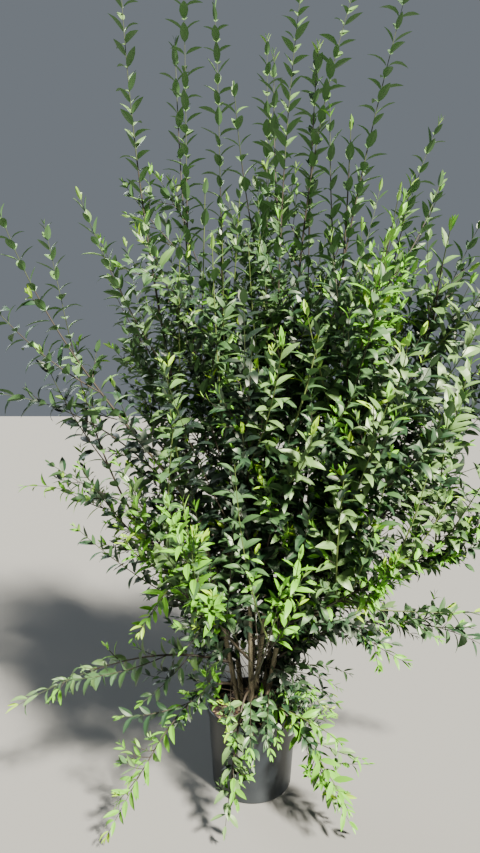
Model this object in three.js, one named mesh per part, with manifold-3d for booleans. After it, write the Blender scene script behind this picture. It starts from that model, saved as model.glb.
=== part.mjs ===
// A common privet grown as a tall, open bush in a round nursery pot.
// Seven stems rise from the pot and fan out into whips: long shoots with leaves in opposite
// pairs. The bare lower part of each whip is a stem or a bough, and its leafy upper part is
// one mass of foliage: a leader with side twigs and leaves, all in one solid.
// Millimetres, +Z up. The origin is the middle of the pot's flat underside.
import * as THREE from "three";
import { mergeVertices } from "three/addons/utils/BufferGeometryUtils.js";
import Module from "manifold-3d";

const wasm = await Module();
wasm.setup();

// The pot: a 14 litre round container of thin black plastic.
const POT_HEIGHT = 260;
const POT_BASE_RADIUS = 122;
const POT_RIM_RADIUS = 141;
const POT_WALL = 2.6;
const POT_CORNER = 5;
const POT_SIDES = 24;
const RIM_BAND = 24;
const RIM_STEP = 3.5;
const DRAIN_HOLES = 6;
const DRAIN_HOLE_SIDES = 6;
const DRAIN_RADIUS = 8;
const DRAIN_CIRCLE = 88;

// The compost stands a little below the rim and is level where the stems come out of it.
const SOIL_TOP = 240;
const SOIL_SHOULDER = 8;
const SOIL_LEVEL_RADIUS = 72;

// The clear gap between one solid and the next, and the room that leaves keep.
const GAP = 0.3;
const LEAF_ROOM = 2;
const LOWEST_LEAF = 9;

// Stems and boughs: radii at a whip's foot and tip, the share of a whip that is bare, and the
// slope at which a stem leaves the compost.
const STEM_RADIUS = 8;
const BOUGH_RADIUS = 5;
const TIP_RADIUS = 1.6;
const STEM_TAPER = 1.15;
const BOUGH_TAPER = 1.1;
const ROOT_FLARE = 0.7;
const ROOT_FLARE_HEIGHT = 14;
const STEM_SIDES = 7;
const STEM_STEPS = 8;
const BOUGH_SIDES = 5;
const BOUGH_STEPS = 5;
const STEM_BARE = 0.31;
const BOUGH_BARE = 0.24;
const STEM_LEAVE = 80;
const FOOT_DEPTH = 5;
const CURVE_HANDLE = 0.38;
const CURVE_STOPS = 12;
const LINE_STOPS = 16;
const HEIGHT_SEARCH = 0.001;

// Twigs and leaves. The leaves are fewer and larger than life, so that the plant is not thin,
// and get smaller with height.
const LEADER_STEPS = 5;
const LEAFLESS_PAST_BOUGH = 0.06;
const LEAFLESS_PAST_STEM = 0.14;
const TWIG_STEPS = 2;
const TWIG_SIDES = 3;
const TWIG_RADIUS = 2.1;
const TWIG_TAPER = 0.25;
const TWIG_LEAN = 48;
const TWIG_RISE = 0.4;
const TWIG_REACH = 0.34;
const TWIG_SHORTENING = 0.85;
const TWIG_SPREAD = [0.8, 1.15];
const TWIG_WANDER = 0.4;
const TWIG_SPACING = 200;
const TWIG_BARE = 0.3;
const FIRST_TWIG = 0.1;
const LAST_TWIG = 0.8;
const TWIG_PROBES = [0.3, 0.65, 1];
const PAIR_SPACING = 124;
const PAIR_WANDER = 0.25;
const LAST_PAIR = 0.97;
const LOW_LEAF = 128;
const HIGH_LEAF = 88;
const TIP_LEAF = 0.8;
const TIP_LEAF_ROOT = 0.985;
const LEAF_SPREAD = [0.88, 1.05];
const LEAF_WIDTH = 0.4;
const LEAF_ARCH = 0.05;
const LEAF_WIDEST = 0.45;
const LEAF_PROBE = 0.72;
const LEAF_LEAN = 52;
const LEAF_ROLL = 55;
const LEAF_SIZES = [1, 0.66];
const GOLDEN_SHARE = 0.618;
const GOLDEN_ANGLE = 2.4;
const SEEDS_PER_WHIP = 1000;
const NEARLY_UPRIGHT = 0.95;
const CROWN_TOP = 2400;
const FRESH_BELOW = 1100;

const MATURE_GREEN = 0x3f6b22;
const FRESH_GREEN = 0x7fae35;
const BARK_GREY = 0x6f6350;
const POT_BLACK = 0x25262a;
const COMPOST_BROWN = 0x3a2c21;

// The seven stems: the angle of the foot on a ring in the pot, the tip of the whip that the
// stem carries on into, and the slope of the whip there in degrees.
const FOOT_RING = 40;
const STEMS = {
  middle: { ring: 0, foot: 0, tip: [130, -100, 2350], slope: 80 },
  left: { foot: 195, tip: [-350, -50, 2360], slope: 88 },
  back_left: { foot: 140, tip: [-110, 130, 2320], slope: 86 },
  back: { foot: 95, tip: [60, 340, 2080], slope: 82 },
  back_right: { foot: 45, tip: [300, 20, 2400], slope: 71 },
  right: { foot: -15, tip: [400, -130, 2330], slope: 75 },
  front: { foot: 265, tip: [-30, -350, 1500], slope: 76 },
};

// The whips that branch from a stem: the height of the branch, the slope at which the whip
// leaves, its tip, and the slope there, which is below 0 where the tip hangs. Where bare is 0
// the whip is leafy from the stem on, and has no bough.
const WHIPS = {
  left_high: { stem: "left", at: 860, leave: 54, tip: [-680, -130, 1760], slope: 74 },
  left_upright: { stem: "left", at: 560, leave: 36, tip: [-600, 50, 1700], slope: 78 },
  left_level: { stem: "back_left", at: 690, leave: 54, tip: [-740, -80, 1230], slope: 7 },
  left_mid: { stem: "back_left", at: 420, leave: 40, tip: [-700, 60, 930], slope: -4 },
  rear_left: { stem: "back_left", at: 560, leave: 45, tip: [-430, 400, 1700], slope: 72 },
  right_tall: { stem: "back_right", at: 640, leave: 52, tip: [540, 100, 2000], slope: 66 },
  rear_right: { stem: "back_right", at: 480, leave: 40, tip: [450, 400, 1620], slope: 66 },
  right_high: { stem: "right", at: 700, leave: 46, tip: [600, -130, 1700], slope: 64 },
  right_mid: { stem: "right", at: 580, leave: 36, tip: [830, -50, 1420], slope: 42 },
  right_level: { stem: "right", at: 480, leave: 34, tip: [820, -230, 980], slope: 24 },
  inner_left: { stem: "back_left", at: 760, leave: 72, tip: [-190, -10, 2380], slope: 88, bare: 0 },
  inner_right: { stem: "middle", at: 740, leave: 74, tip: [40, 130, 2230], slope: 86, bare: 0 },
  right_upright: { stem: "back_right", at: 760, leave: 70, tip: [190, 150, 2210], slope: 82, bare: 0 },
  right_front: { stem: "right", at: 790, leave: 58, tip: [340, -330, 1700], slope: 68, bare: 0 },
  rear_high: { stem: "back", at: 660, leave: 60, tip: [-110, 460, 1600], slope: 72, bare: 0 },
  front_high: { stem: "middle", at: 520, leave: 46, tip: [400, -400, 1330], slope: 60, bare: 0 },
  heart_front: { stem: "front", at: 600, leave: 62, tip: [90, -330, 1190], slope: 70, bare: 0 },
  heart_left: { stem: "left", at: 460, leave: 44, tip: [-360, -210, 1060], slope: 60, bare: 0 },
  heart_right: { stem: "right", at: 620, leave: 60, tip: [340, -190, 1200], slope: 62, bare: 0 },
  heart_back: { stem: "back", at: 500, leave: 52, tip: [30, 330, 1180], slope: 66, bare: 0 },
  heart_mid: { stem: "middle", at: 640, leave: 66, tip: [-120, -180, 1400], slope: 80, bare: 0 },
  front_left: { stem: "front", at: 430, leave: 42, tip: [-200, -470, 1020], slope: 66, bare: 0 },
  front_low: { stem: "front", at: 360, leave: 36, tip: [60, -490, 840], slope: 52, bare: 0 },
  front_right: { stem: "front", at: 500, leave: 34, tip: [440, -370, 880], slope: 38, bare: 0 },
  rear_low_left: { stem: "back", at: 400, leave: 34, tip: [-320, 430, 1060], slope: 40, bare: 0 },
  rear_low_right: { stem: "back_right", at: 400, leave: 34, tip: [350, 440, 1020], slope: 40, bare: 0 },
  left_low: { stem: "left", at: 390, leave: 24, tip: [-670, -200, 360], slope: -24, bare: 0 },
  right_low: { stem: "right", at: 400, leave: 42, tip: [740, -60, 440], slope: -34, bare: 0 },
  left_droop: { stem: "left", at: 310, leave: 32, tip: [-400, -300, 45], slope: -50, bare: 0 },
  right_droop: { stem: "front", at: 290, leave: 30, tip: [270, -270, 50], slope: -50, bare: 0 },
  rear_droop: { stem: "back", at: 330, leave: 36, tip: [90, 400, 280], slope: -36, bare: 0 },
  front_droop: { stem: "front", at: 325, leave: 36, tip: [-80, -290, 50], slope: -62, bare: 0 },
};

const UP = new THREE.Vector3(0, 0, 1);
const { degToRad: radians, lerp } = THREE.MathUtils;

// Seeded random numbers between two bounds.
function stream(seed) {
  let state = seed >>> 0;
  return (low, high) => {
    state = (state + 0x6d2b79f5) >>> 0;
    let mixed = Math.imul(state ^ (state >>> 15), state | 1);
    mixed ^= mixed + Math.imul(mixed ^ (mixed >>> 7), mixed | 61);
    return low + (((mixed ^ (mixed >>> 14)) >>> 0) / 2 ** 32) * (high - low);
  };
}

// A geometry as a solid, a solid as a named mesh, and the main body of a cut solid.
function solidOf(geometry) {
  const bare = geometry.clone();
  bare.deleteAttribute("normal");
  bare.deleteAttribute("uv");
  const merged = mergeVertices(bare);
  const vertProperties = merged.attributes.position.array;
  const triVerts = new Uint32Array(merged.index.array);
  return new wasm.Manifold(new wasm.Mesh({ numProp: 3, vertProperties, triVerts }));
}

function meshOf(name, solid, material) {
  const { vertProperties, triVerts } = solid.getMesh();
  const geometry = new THREE.BufferGeometry();
  geometry.setAttribute("position", new THREE.BufferAttribute(vertProperties, 3));
  geometry.setIndex(new THREE.BufferAttribute(triVerts, 1));
  geometry.computeVertexNormals();
  const mesh = new THREE.Mesh(geometry, material);
  mesh.name = name;
  return mesh;
}

function mainBody(solid) {
  return solid.decompose().reduce((a, b) => (a.volume() > b.volume() ? a : b));
}

// Pot and compost are turned from an outline of radii and heights.
function turned(outline) {
  const profile = outline.map(([radius, height]) => new THREE.Vector2(radius, height));
  const geometry = new THREE.LatheGeometry(profile, POT_SIDES);
  geometry.rotateX(Math.PI / 2);
  return solidOf(geometry);
}

function potRadius(height) {
  const top = POT_RIM_RADIUS - RIM_STEP;
  return POT_BASE_RADIUS + ((top - POT_BASE_RADIUS) * height) / POT_HEIGHT;
}

function potSolid() {
  const band = POT_HEIGHT - RIM_BAND;
  const inner = POT_BASE_RADIUS - POT_WALL;
  let pot = turned([
    [0, 0],
    [POT_BASE_RADIUS - POT_CORNER, 0],
    [POT_BASE_RADIUS, POT_CORNER],
    [potRadius(band), band],
    [POT_RIM_RADIUS - 1, band + RIM_STEP],
    [POT_RIM_RADIUS, POT_HEIGHT],
    [potRadius(POT_HEIGHT) - POT_WALL, POT_HEIGHT],
    [inner, POT_CORNER + 1],
    [inner - POT_CORNER, POT_WALL],
    [0, POT_WALL],
  ]);
  for (let i = 0; i < DRAIN_HOLES; i++) {
    const angle = (2 * Math.PI * (i + 0.5)) / DRAIN_HOLES;
    const depth = 4 * POT_WALL;
    const hole = new THREE.CylinderGeometry(DRAIN_RADIUS, DRAIN_RADIUS, depth, DRAIN_HOLE_SIDES);
    hole.rotateX(Math.PI / 2);
    hole.translate(DRAIN_CIRCLE * Math.cos(angle), DRAIN_CIRCLE * Math.sin(angle), 0);
    pot = pot.subtract(solidOf(hole));
  }
  return pot;
}

function compostSolid() {
  const foot = POT_WALL + GAP;
  const shoulder = SOIL_TOP - SOIL_SHOULDER;
  const clear = POT_WALL + 2 * GAP;
  return turned([
    [0, foot],
    [POT_BASE_RADIUS - clear - POT_CORNER - 1, foot],
    [potRadius(foot) - clear - 1, foot + POT_CORNER + 1],
    [potRadius(shoulder) - clear, shoulder],
    [SOIL_LEVEL_RADIUS, SOIL_TOP],
    [0, SOIL_TOP],
  ]);
}

// The direction from one point towards another, at a given slope above the level.
function sloped(from, to, slope) {
  const level = new THREE.Vector3(to.x - from.x, to.y - from.y, 0).normalize();
  level.multiplyScalar(Math.cos(radians(slope)));
  return level.addScaledVector(UP, Math.sin(radians(slope)));
}

// One smooth whip from its foot to its tip.
function whipCurve(foot, leaving, tip, slope) {
  const reach = CURVE_HANDLE * foot.distanceTo(tip);
  const nearFoot = foot.clone().addScaledVector(leaving, reach);
  const nearTip = tip.clone().addScaledVector(sloped(foot, tip, slope), -reach);
  return new THREE.CubicBezierCurve3(foot, nearFoot, nearTip, tip);
}

// The stretch of a curve between two shares of its length, as a curve of its own.
function stretch(curve, from, to) {
  const points = [];
  for (let i = 0; i <= CURVE_STOPS; i++) {
    points.push(curve.getPointAt(lerp(from, to, i / CURVE_STOPS)));
  }
  return new THREE.CatmullRomCurve3(points, false, "centripetal");
}

// A closed tapering limb: a cylinder bent along a curve, with its radius at each share of it.
function limb(curve, radiusAt, sides, steps) {
  const geometry = new THREE.CylinderGeometry(1, 1, 1, sides, steps);
  const { tangents, normals } = curve.computeFrenetFrames(steps);
  const place = geometry.attributes.position;
  for (let i = 0; i < place.count; i++) {
    const step = Math.round((place.getY(i) + 0.5) * steps);
    const radius = radiusAt(step / steps);
    const across = new THREE.Vector3().crossVectors(normals[step], tangents[step]);
    const point = curve.getPointAt(step / steps);
    point.addScaledVector(normals[step], place.getX(i) * radius);
    point.addScaledVector(across, place.getZ(i) * radius);
    place.setXYZ(i, ...point);
  }
  return solidOf(geometry);
}

// Every whip's curve, radius and bare share. A branch starts on its stem's own line.
const whips = new Map();

for (const [name, stem] of Object.entries(STEMS)) {
  const ring = stem.ring ?? FOOT_RING;
  const x = ring * Math.cos(radians(stem.foot));
  const y = ring * Math.sin(radians(stem.foot));
  const start = new THREE.Vector3(x, y, SOIL_TOP - FOOT_DEPTH);
  const tip = new THREE.Vector3(...stem.tip);
  whips.set(name, {
    curve: whipCurve(start, sloped(start, tip, STEM_LEAVE), tip, stem.slope),
    bare: STEM_BARE,
    radiusAt: (share) => TIP_RADIUS + (STEM_RADIUS - TIP_RADIUS) * (1 - share) ** STEM_TAPER,
  });
}

function pointAtHeight(curve, height) {
  let share = 0;
  while (curve.getPointAt(share).z < height) share += HEIGHT_SEARCH;
  return curve.getPointAt(share);
}

for (const [name, whip] of Object.entries(WHIPS)) {
  const start = pointAtHeight(whips.get(whip.stem).curve, whip.at);
  const tip = new THREE.Vector3(...whip.tip);
  whips.set(name, {
    curve: whipCurve(start, sloped(start, tip, whip.leave), tip, whip.slope),
    bare: whip.bare ?? BOUGH_BARE,
    stem: whip.stem,
    radiusAt: (share) => TIP_RADIUS + (BOUGH_RADIUS - TIP_RADIUS) * (1 - share) ** BOUGH_TAPER,
  });
}

// The bare limbs. A stem is cut flat at the compost, and a bough just clear of its stem.
function stemSolid({ curve, radiusAt, bare }, grown) {
  const length = curve.getLength() * bare;
  const flared = (share) => {
    const flare = 1 + ROOT_FLARE * Math.exp((-share * length) / ROOT_FLARE_HEIGHT);
    return radiusAt(share * bare) * flare + grown;
  };
  const whole = limb(stretch(curve, 0, bare), flared, STEM_SIDES, STEM_STEPS);
  return whole.trimByPlane([0, 0, 1], SOIL_TOP + GAP);
}

const stems = new Map();
const grownStems = new Map();
for (const name of Object.keys(STEMS)) {
  stems.set(name, stemSolid(whips.get(name), 0));
  grownStems.set(name, stemSolid(whips.get(name), GAP));
}

const boughs = new Map();
for (const name of Object.keys(WHIPS)) {
  const { curve, radiusAt, bare, stem } = whips.get(name);
  if (bare === 0) continue;
  const line = stretch(curve, 0, bare);
  const whole = limb(line, (share) => radiusAt(share * bare), BOUGH_SIDES, BOUGH_STEPS);
  boughs.set(name, mainBody(whole.subtract(grownStems.get(stem))));
}

// The least distance from a point to a row of short straight lines, less their radius.
function gapTo(lines, point) {
  const nearest = new THREE.Vector3();
  const gap = ({ line, radius }) =>
    line.closestPointToPoint(point, true, nearest).distanceTo(point) - radius;
  return Math.min(...lines.map(gap));
}

function linesAlong({ curve, radiusAt }, from, to, thick) {
  const at = (i) => lerp(from, to, i / LINE_STOPS);
  return Array.from({ length: LINE_STOPS }, (_, i) => ({
    line: new THREE.Line3(curve.getPointAt(at(i)), curve.getPointAt(at(i + 1))),
    radius: thick ? radiusAt(at(i)) : 0,
  }));
}

const leaders = new Map();
const limbLines = [];
for (const [name, whip] of whips) {
  leaders.set(name, linesAlong(whip, whip.bare, 1, false));
  if (whip.bare > 0) limbLines.push(...linesAlong(whip, 0, whip.bare, true));
}

// A mass's own space: nearer to its leader than to any other, and clear of every limb, of the
// pot and of the ground.
function isFree(name, point) {
  if (point.z < LOWEST_LEAF) return false;
  const overPot = Math.hypot(point.x, point.y) < POT_RIM_RADIUS + LEAF_ROOM;
  if (overPot && point.z < POT_HEIGHT + LEAF_ROOM) return false;
  if (gapTo(limbLines, point) < LEAF_ROOM) return false;
  const own = gapTo(leaders.get(name), point) + 2 * LEAF_ROOM;
  for (const [other, lines] of leaders) {
    if (other !== name && gapTo(lines, point) < own) return false;
  }
  return true;
}

// A direction square to another, turned round it by an angle.
function outward(along, angle) {
  const start = Math.abs(along.z) > NEARLY_UPRIGHT ? new THREE.Vector3(1, 0, 0) : UP;
  return new THREE.Vector3().crossVectors(along, start).normalize().applyAxisAngle(along, angle);
}

// A leaf: a kite of four faces, folded along its rib and across its widest part, with its
// root sunk in the twig and its face turned to the sky, more or less.
function leaf(root, axis, roll, length) {
  const face = UP.clone().addScaledVector(axis, -UP.dot(axis));
  if (Math.abs(axis.z) > NEARLY_UPRIGHT) face.copy(outward(axis, 0));
  face.normalize().applyAxisAngle(axis, roll);
  const side = new THREE.Vector3().crossVectors(face, axis);
  const at = (along, across, up) => {
    const point = root.clone().addScaledVector(axis, along * length);
    return point.addScaledVector(side, across * length).addScaledVector(face, up * length);
  };
  const half = LEAF_WIDTH / 2;
  const geometry = new THREE.TetrahedronGeometry(1);
  const place = geometry.attributes.position;
  for (let i = 0; i < place.count; i++) {
    const way = Math.sign(place.getX(i));
    const onRib = place.getZ(i) < 0;
    const corner = onRib ? at((1 + way) / 2, 0, 0) : at(LEAF_WIDEST, way * half, LEAF_ARCH);
    place.setXYZ(i, ...corner);
  }
  const probes = [at(1, 0, 0), at(LEAF_WIDEST, 0, 0), at(LEAF_PROBE, 0, LEAF_ARCH / 2)];
  for (const way of [-half, half]) {
    probes.push(at(LEAF_WIDEST, way, LEAF_ARCH), at(LEAF_WIDEST / 2, way / 2, LEAF_ARCH / 2));
  }
  return { geometry, probes };
}

// The largest leaf that fits at a place in a mass's space, or none.
function fittingLeaf(name, root, axis, roll, size) {
  const length = size * lerp(LOW_LEAF, HIGH_LEAF, root.z / CROWN_TOP);
  for (const smaller of LEAF_SIZES) {
    const { geometry, probes } = leaf(root, axis, roll, length * smaller);
    if (probes.every((probe) => isFree(name, probe))) return [solidOf(geometry)];
  }
  return [];
}

// Leaves along a twig: opposite pairs, each turned a quarter round from the last, and one
// leaf at the tip.
function leavesAlong(name, curve, from, pairs, random) {
  const leaves = [];
  const roll = () => radians(random(-LEAF_ROLL, LEAF_ROLL));
  let turn = random(0, Math.PI);
  for (let i = 0; i < pairs; i++) {
    const share = from + ((LAST_PAIR - from) * (i + 0.5)) / pairs;
    const root = curve.getPointAt(share);
    const along = curve.getTangentAt(share);
    turn += Math.PI / 2 + random(-PAIR_WANDER, PAIR_WANDER);
    for (const side of [turn, turn + Math.PI]) {
      const axis = along.clone().multiplyScalar(Math.cos(radians(LEAF_LEAN)));
      axis.addScaledVector(outward(along, side), Math.sin(radians(LEAF_LEAN)));
      leaves.push(...fittingLeaf(name, root, axis, roll(), random(...LEAF_SPREAD)));
    }
  }
  const tip = curve.getPointAt(TIP_LEAF_ROOT);
  leaves.push(...fittingLeaf(name, tip, curve.getTangentAt(1), roll(), TIP_LEAF));
  return leaves;
}

// One side twig: it leaves the leader at a lean and then turns up.
function sideTwig(root, along, angle, length) {
  const lean = radians(TWIG_LEAN);
  const leaving = along.clone().multiplyScalar(Math.cos(lean));
  leaving.addScaledVector(outward(along, angle), Math.sin(lean));
  const rising = leaving.clone().addScaledVector(UP, TWIG_RISE).normalize();
  const middle = root.clone().addScaledVector(leaving, length / 2);
  const tip = middle.clone().addScaledVector(rising, length / 2);
  return new THREE.QuadraticBezierCurve3(root, middle, tip);
}

// One mass of foliage: the leader, its leaves, and side twigs with leaves of their own.
function massSolid(name, index) {
  const { curve, bare, radiusAt, stem } = whips.get(name);
  const start = bare > 0 ? bare + GAP / curve.getLength() : 0;
  const leader = stretch(curve, start, 1);
  const length = leader.getLength();
  const leaderRadius = (share) => radiusAt(start + (1 - start) * share);
  const pieces = [limb(leader, leaderRadius, TWIG_SIDES, LEADER_STEPS)];
  const clear = bare > 0 ? LEAFLESS_PAST_BOUGH : LEAFLESS_PAST_STEM;
  const pairs = Math.round((length * (1 - clear)) / PAIR_SPACING);
  pieces.push(...leavesAlong(name, leader, clear, pairs, stream(index + 1)));
  const twigs = Math.round(length / TWIG_SPACING);
  for (let i = 0; i < twigs; i++) {
    const random = stream(SEEDS_PER_WHIP * (index + 1) + i);
    const share = clear + (LAST_TWIG - clear) * ((i * GOLDEN_SHARE + FIRST_TWIG) % 1);
    const shorter = 1 - TWIG_SHORTENING * share;
    const reach = length * TWIG_REACH * shorter * random(...TWIG_SPREAD);
    const angle = i * GOLDEN_ANGLE + index + random(-TWIG_WANDER, TWIG_WANDER);
    const twig = sideTwig(leader.getPointAt(share), leader.getTangentAt(share), angle, reach);
    if (!TWIG_PROBES.every((at) => isFree(name, twig.getPointAt(at)))) continue;
    const twigRadius = (at) => TWIG_RADIUS * (1 - TWIG_TAPER * at);
    pieces.push(limb(twig, twigRadius, TWIG_SIDES, TWIG_STEPS));
    pieces.push(...leavesAlong(name, twig, TWIG_BARE, 1, random));
  }
  const joined = mainBody(wasm.Manifold.union(pieces));
  return bare > 0 ? joined : mainBody(joined.subtract(grownStems.get(stem)));
}

const finish = (color, roughness) => new THREE.MeshStandardMaterial({ color, roughness });
const bark = finish(BARK_GREY, 0.85);
const mature = finish(MATURE_GREEN, 0.45);
const fresh = finish(FRESH_GREEN, 0.45);

const privet = new THREE.Group();
privet.add(meshOf("pot", potSolid(), finish(POT_BLACK, 0.6)));
privet.add(meshOf("compost", compostSolid(), finish(COMPOST_BROWN, 0.95)));
for (const [name, solid] of stems) privet.add(meshOf(`stem_${name}`, solid, bark));
for (const [name, solid] of boughs) privet.add(meshOf(`bough_${name}`, solid, bark));
[...whips].forEach(([name, { curve }], index) => {
  const green = curve.v3.z < FRESH_BELOW ? fresh : mature;
  privet.add(meshOf(`foliage_${name}`, massSolid(name, index), green));
});

export default privet;
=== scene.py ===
from math import cos, exp, hypot, pi, radians, sin, sqrt, tau

import bmesh
import bpy
import numpy as np
from mathutils import Matrix, Vector, noise


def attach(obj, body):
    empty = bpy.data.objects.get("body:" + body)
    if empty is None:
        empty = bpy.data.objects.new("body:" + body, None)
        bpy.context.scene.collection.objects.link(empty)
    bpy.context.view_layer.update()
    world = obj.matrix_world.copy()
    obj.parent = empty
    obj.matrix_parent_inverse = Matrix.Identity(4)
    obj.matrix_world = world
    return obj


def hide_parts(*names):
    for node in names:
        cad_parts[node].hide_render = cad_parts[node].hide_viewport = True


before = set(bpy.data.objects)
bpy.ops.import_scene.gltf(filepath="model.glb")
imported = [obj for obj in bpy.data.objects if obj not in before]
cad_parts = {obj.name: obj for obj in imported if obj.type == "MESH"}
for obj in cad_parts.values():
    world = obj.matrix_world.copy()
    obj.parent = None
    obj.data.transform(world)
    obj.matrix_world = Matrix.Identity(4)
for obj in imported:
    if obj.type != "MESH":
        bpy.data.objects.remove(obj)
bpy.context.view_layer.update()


# The view: the plant is seen from 1.86 m in front of the pot's middle, a little to the left
# of it and 1.39 m above the ground, looking slightly down through a wide lens. The tallest
# whips leave the top of the picture.
SENSOR_MM = 36
PHOTO_HEIGHT = 853
FOCAL_PIXELS = 641
CAMERA_PLACE = (-0.038, -1.855, 1.39)
CAMERA_TILT = 8.2

camera = bpy.data.objects.new("camera", bpy.data.cameras.new("camera"))
camera.data.sensor_width = SENSOR_MM
camera.data.lens = SENSOR_MM * FOCAL_PIXELS / PHOTO_HEIGHT
camera.location = CAMERA_PLACE
camera.rotation_euler = (radians(90 - CAMERA_TILT), 0, 0)
bpy.context.scene.collection.objects.link(camera)
bpy.context.scene.camera = camera


# The studio: a wide grey floor, a pale surround for the fill, a high key light from the
# right of the camera, a little soft at its edges, and a weak light from behind.
FLOOR_SIZE = 9.0
FLOOR_COLOUR = "#737470"
SURROUND_COLOUR = "#cfdae6"
SURROUND_STRENGTH = 0.27
LIGHTS = {
    "key": {"from": (1.6, -1.9, 2.6), "energy": 23.5, "softness": 7, "colour": "#fff6ea"},
    "back": {"from": (-1.8, 2.2, 1.9), "energy": 1.6, "softness": 25, "colour": "#eef4ff"},
}


def linear(colour):
    """The linear red, green, blue and alpha of an sRGB hex colour."""
    parts = [int(colour[i : i + 2], 16) / 255 for i in (1, 3, 5)]
    return [p / 12.92 if p <= 0.04045 else ((p + 0.055) / 1.055) ** 2.4 for p in parts] + [1]


def add_node(tree, kind, links=(), **settings):
    """A node with its settings; links are pairs of an input's name and what feeds it."""
    node = tree.nodes.new("ShaderNode" + kind)
    for name, value in settings.items():
        if hasattr(node, name):
            setattr(node, name, value)
        else:
            node.inputs[name.replace("_", " ")].default_value = value
    for name, source in links:
        tree.links.new(source, node.inputs[name])
    return node


def new_material(name, colour, roughness, **shader_values):
    """A material with one Principled shader, whose own sockets hold its plain values."""
    material = bpy.data.materials.new(name)
    material.use_nodes = True
    shader = material.node_tree.nodes["Principled BSDF"]
    shader.inputs["Base Color"].default_value = linear(colour)
    shader.inputs["Roughness"].default_value = roughness
    for socket, value in shader_values.items():
        shader.inputs[socket.replace("_", " ")].default_value = value
    return material, material.node_tree, shader


def new_piece(name, mesh, materials):
    """An object at the origin for a mesh, linked to the scene."""
    mesh.name = name
    for material in materials:
        mesh.materials.append(material)
    piece = bpy.data.objects.new(name, mesh)
    bpy.context.scene.collection.objects.link(piece)
    return piece


def mesh_of(bm):
    """A finished bmesh as a mesh."""
    mesh = bpy.data.meshes.new("mesh")
    bm.to_mesh(mesh)
    bm.free()
    return mesh


bm = bmesh.new()
bmesh.ops.create_grid(bm, x_segments=1, y_segments=1, size=FLOOR_SIZE)

# A matt paint, which shows the plant's shadow and no gloss of its own.
floor_paint, _, _ = new_material("matt_grey_floor", FLOOR_COLOUR, roughness=0.9)
floor = new_piece("floor", mesh_of(bm), [floor_paint])

world = bpy.data.worlds.new("surround")
world.use_nodes = True
surround = world.node_tree.nodes["Background"]
surround.inputs["Color"].default_value = linear(SURROUND_COLOUR)
surround.inputs["Strength"].default_value = SURROUND_STRENGTH
bpy.context.scene.world = world

for name, light in LIGHTS.items():
    lamp = bpy.data.objects.new(name, bpy.data.lights.new(name, "SUN"))
    lamp.data.energy = light["energy"]
    lamp.data.angle = radians(light["softness"])
    lamp.data.color = linear(light["colour"])[:3]
    lamp.rotation_mode = "QUATERNION"
    lamp.rotation_quaternion = Vector(light["from"]).to_track_quat("Z", "Y")
    bpy.context.scene.collection.objects.link(lamp)


# The pot: a round nursery pot of about 14 litres, moulded in thin black polypropylene. It has
# a rolled rim over a wide band, two mould seams down its sides and drain holes in its flat
# base. The compost fills it to 20 mm below the rim.
MM = 0.001
POT_HEIGHT = 260 * MM
POT_BASE_RADIUS = 122 * MM
POT_RIM_RADIUS = 141 * MM
POT_WALL = 2.6 * MM
RIM_BAND = 24 * MM
RIM_STEP = 3.5 * MM
RIM_ROLL = 2.2 * MM
FOOT_ROUND = 5 * MM
BASE_MARGIN = 30 * MM
LEDGE_ROUND = 1.2 * MM
LEDGE_TUCK = 0.5 * MM
LEDGE_DROP = 2 * MM
BAND_TUCK = 0.6 * MM
POT_STEPS = 144
POT_CREASE = 38
DRAIN_HOLES = 6
DRAIN_STEPS = 24
DRAIN_RADIUS = 8 * MM
DRAIN_CIRCLE = 88 * MM
SEAM_ANGLES = (-66, 114)
SEAM_WIDTH = 1.6 * MM
SEAM_HEIGHT = 0.7 * MM
SEAM_CREST = 0.4
POT_COLOUR = "#21272b"
POT_DUST = "#404547"
DUST_TOP = 170 * MM
DUST_BLOTCH = 45 * MM
POT_GRAIN = 1.1 * MM


def pot_radius(height):
    """The outer radius of the pot's wall at a height, below the rim's band."""
    top = POT_RIM_RADIUS - RIM_STEP
    return POT_BASE_RADIUS + (top - POT_BASE_RADIUS) * height / POT_HEIGHT


def arc(centre, radius, start, end, steps):
    """Points round part of a circle, angles in degrees."""
    angles = [radians(start + (end - start) * i / steps) for i in range(steps + 1)]
    return [(centre[0] + radius * cos(a), centre[1] + radius * sin(a)) for a in angles]


def spin(profile, steps):
    """A closed body turned about the upright axis from points of radius and height."""
    bm = bmesh.new()
    corners = [bm.verts.new((radius, 0, height)) for radius, height in profile]
    edges = [bm.edges.new(ends) for ends in zip(corners, corners[1:])]
    turned = {"geom": corners + edges, "axis": (0, 0, 1), "cent": (0, 0, 0)}
    bmesh.ops.spin(bm, **turned, steps=steps, angle=tau, use_merge=True)
    bmesh.ops.remove_doubles(bm, verts=bm.verts, dist=1e-6)
    bmesh.ops.recalc_face_normals(bm, faces=bm.faces)
    return bm


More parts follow.
